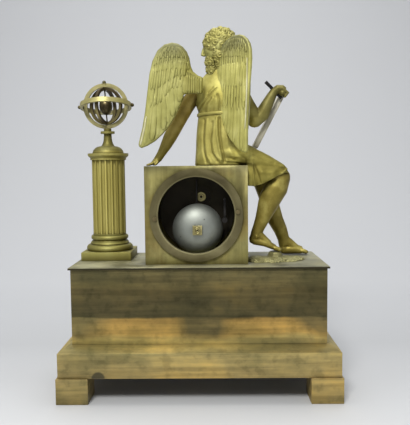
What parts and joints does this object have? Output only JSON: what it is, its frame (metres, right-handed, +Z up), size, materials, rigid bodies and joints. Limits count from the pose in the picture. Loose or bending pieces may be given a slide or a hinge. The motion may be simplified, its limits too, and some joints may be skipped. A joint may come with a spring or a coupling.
{
  "type": "figural mantel clock",
  "caption": "Mantel clock with a winged seated figure on a square movement case, beside a fluted column with an armillary sphere, on a stepped plinth.",
  "frame": {"origin": "middle of the footprint on the ground, under the base", "axes": "+Z up, +Y towards the back with the access opening, -Y towards the dial, +X towards the column"},
  "size_m": [0.32, 0.148, 0.4329],
  "materials": {
    "gilt_bronze": "matte worn gilding",
    "plinth_patina": "brushed, olive brown patina",
    "deck_bronze": "satin, grey-green",
    "ring_bronze": "satin, brownish",
    "bell_steel": "polished with pits",
    "brass": "satin",
    "dark_steel": "blued dark",
    "glass": "clear",
    "enamel": "gloss white enamel",
    "tablet_silver": "pale silvered",
    "bolt_steel": "turned steel"
  },
  "bodies": {
    "clock_body": {"feet": "plinth_patina", "lower_plinth": "plinth_patina", "upper_plinth": "plinth_patina", "top_plate": "deck_bronze", "base_screws": "bolt_steel", "tie_rods": "bolt_steel", "column_base": "gilt_bronze", "column_shaft": "gilt_bronze", "column_capital": "gilt_bronze", "sphere_stand": "gilt_bronze", "meridian_ring": "gilt_bronze", "horizon_ring": "gilt_bronze", "colure_ring": "gilt_bronze", "case_shell": "gilt_bronze", "rear_bezel": "ring_bronze", "strap_screws": "dark_steel", "movement_straps": "brass", "front_bezel": "gilt_bronze", "hinge_pin": "bolt_steel", "dial": "enamel", "front_plate": "brass", "back_plate": "brass", "pillars": "brass", "bell": "bell_steel", "bell_stand": "bolt_steel", "bell_nut": "brass", "suspension_cock": "brass", "figure_torso": "gilt_bronze", "figure_head": "gilt_bronze", "left_arm": "gilt_bronze", "right_arm": "gilt_bronze", "left_leg": "gilt_bronze", "right_leg": "gilt_bronze", "left_wing": "gilt_bronze", "right_wing": "gilt_bronze", "stylus": "dark_steel", "tablet": "tablet_silver", "ground_casting": "gilt_bronze"},
    "minute_train": {"centre_wheel": "brass", "cannon_pinion": "bolt_steel", "minute_hand": "dark_steel"},
    "hour_train": {"hour_wheel": "brass", "hour_hand": "dark_steel"},
    "minute_wheel": {"minute_wheel": "brass"},
    "going_barrel": {"going_barrel": "brass"},
    "third_wheel": {"third_wheel": "brass"},
    "escape_wheel": {"escape_wheel": "brass"},
    "pendulum": {"pendulum_rod": "bolt_steel", "pendulum_bob": "brass"},
    "anchor": {"anchor": "bolt_steel"},
    "going_arbor": {"going_arbor": "bolt_steel"},
    "strike_arbor": {"strike_arbor": "bolt_steel"},
    "strike_barrel": {"strike_barrel": "brass"},
    "pin_wheel": {"pin_wheel": "brass"},
    "count_wheel": {"count_wheel": "brass"},
    "hammer": {"hammer": "dark_steel"},
    "glass_door": {"glass_bezel": "gilt_bronze", "dial_glass": "glass"},
    "globe": {"globe": "dark_steel"}
  },
  "joints": [
    {"name": "minute_turn", "type": "hinge", "parent": "clock_body", "child": "minute_train", "pos_m": [0.0024, -0.01, 0.2077], "axis": [0, 1, 0], "continuous": true},
    {"name": "hour_turn", "type": "hinge", "parent": "clock_body", "child": "hour_train", "pos_m": [0.0024, -0.042, 0.2077], "axis": [0, 1, 0], "continuous": true},
    {"name": "minute_wheel_turn", "type": "hinge", "parent": "clock_body", "child": "minute_wheel", "pos_m": [0.0024, -0.039, 0.2197], "axis": [0, 1, 0], "continuous": true},
    {"name": "going_barrel_turn", "type": "hinge", "parent": "clock_body", "child": "going_barrel", "pos_m": [0.0236, -0.022, 0.20163], "axis": [0, 1, 0], "continuous": true},
    {"name": "third_turn", "type": "hinge", "parent": "clock_body", "child": "third_wheel", "pos_m": [0.01138, -0.01, 0.22353], "axis": [0, 1, 0], "continuous": true},
    {"name": "escape_turn", "type": "hinge", "parent": "clock_body", "child": "escape_wheel", "pos_m": [0.0024, -0.02, 0.2357], "axis": [0, 1, 0], "continuous": true},
    {"name": "pendulum_swing", "type": "hinge", "parent": "clock_body", "child": "pendulum", "pos_m": [0.0024, 0.0095, 0.2467], "axis": [0, 1, 0], "range_deg": [-4, 4]},
    {"name": "anchor_swing", "type": "hinge", "parent": "clock_body", "child": "anchor", "pos_m": [0.0024, -0.01, 0.2467], "axis": [0, 1, 0], "range_deg": [-4, 4]},
    {"name": "going_winding", "type": "hinge", "parent": "clock_body", "child": "going_arbor", "pos_m": [0.0236, -0.022, 0.20163], "axis": [0, 1, 0], "continuous": true},
    {"name": "strike_winding", "type": "hinge", "parent": "clock_body", "child": "strike_arbor", "pos_m": [-0.0188, -0.022, 0.20163], "axis": [0, 1, 0], "continuous": true},
    {"name": "strike_barrel_turn", "type": "hinge", "parent": "clock_body", "child": "strike_barrel", "pos_m": [-0.0188, -0.022, 0.20163], "axis": [0, 1, 0], "continuous": true},
    {"name": "pin_wheel_turn", "type": "hinge", "parent": "clock_body", "child": "pin_wheel", "pos_m": [-0.0101, -0.01, 0.2219], "axis": [0, 1, 0], "continuous": true},
    {"name": "count_turn", "type": "hinge", "parent": "clock_body", "child": "count_wheel", "pos_m": [-0.0028, 0.004, 0.2276], "axis": [0, 1, 0], "continuous": true},
    {"name": "hammer_lift", "type": "hinge", "parent": "clock_body", "child": "hammer", "pos_m": [-0.0306, 0, 0.2237], "axis": [0, 1, 0], "range_deg": [0, 15]},
    {"name": "bezel_door", "type": "hinge", "parent": "clock_body", "child": "glass_door", "pos_m": [0.0579, -0.0514, 0.2077], "axis": [0, 0, 1], "range_deg": [0, 110]},
    {"name": "globe_spin", "type": "hinge", "parent": "clock_body", "child": "globe", "pos_m": [0.1145, -0.0233, 0.33936], "axis": [0.0541, 0, 0.9985], "continuous": true}
  ],
  "couplings": [
    {"joint": "hour_turn", "follows": "minute_turn", "ratio": 0.083333},
    {"joint": "minute_wheel_turn", "follows": "minute_turn", "ratio": -0.33333},
    {"joint": "going_barrel_turn", "follows": "minute_turn", "ratio": -0.16667},
    {"joint": "third_turn", "follows": "minute_turn", "ratio": -12},
    {"joint": "escape_turn", "follows": "minute_turn", "ratio": 132},
    {"joint": "anchor_swing", "follows": "pendulum_swing", "ratio": 1},
    {"joint": "pin_wheel_turn", "follows": "strike_barrel_turn", "ratio": -6},
    {"joint": "count_turn", "follows": "strike_barrel_turn", "ratio": 6}
  ]
}
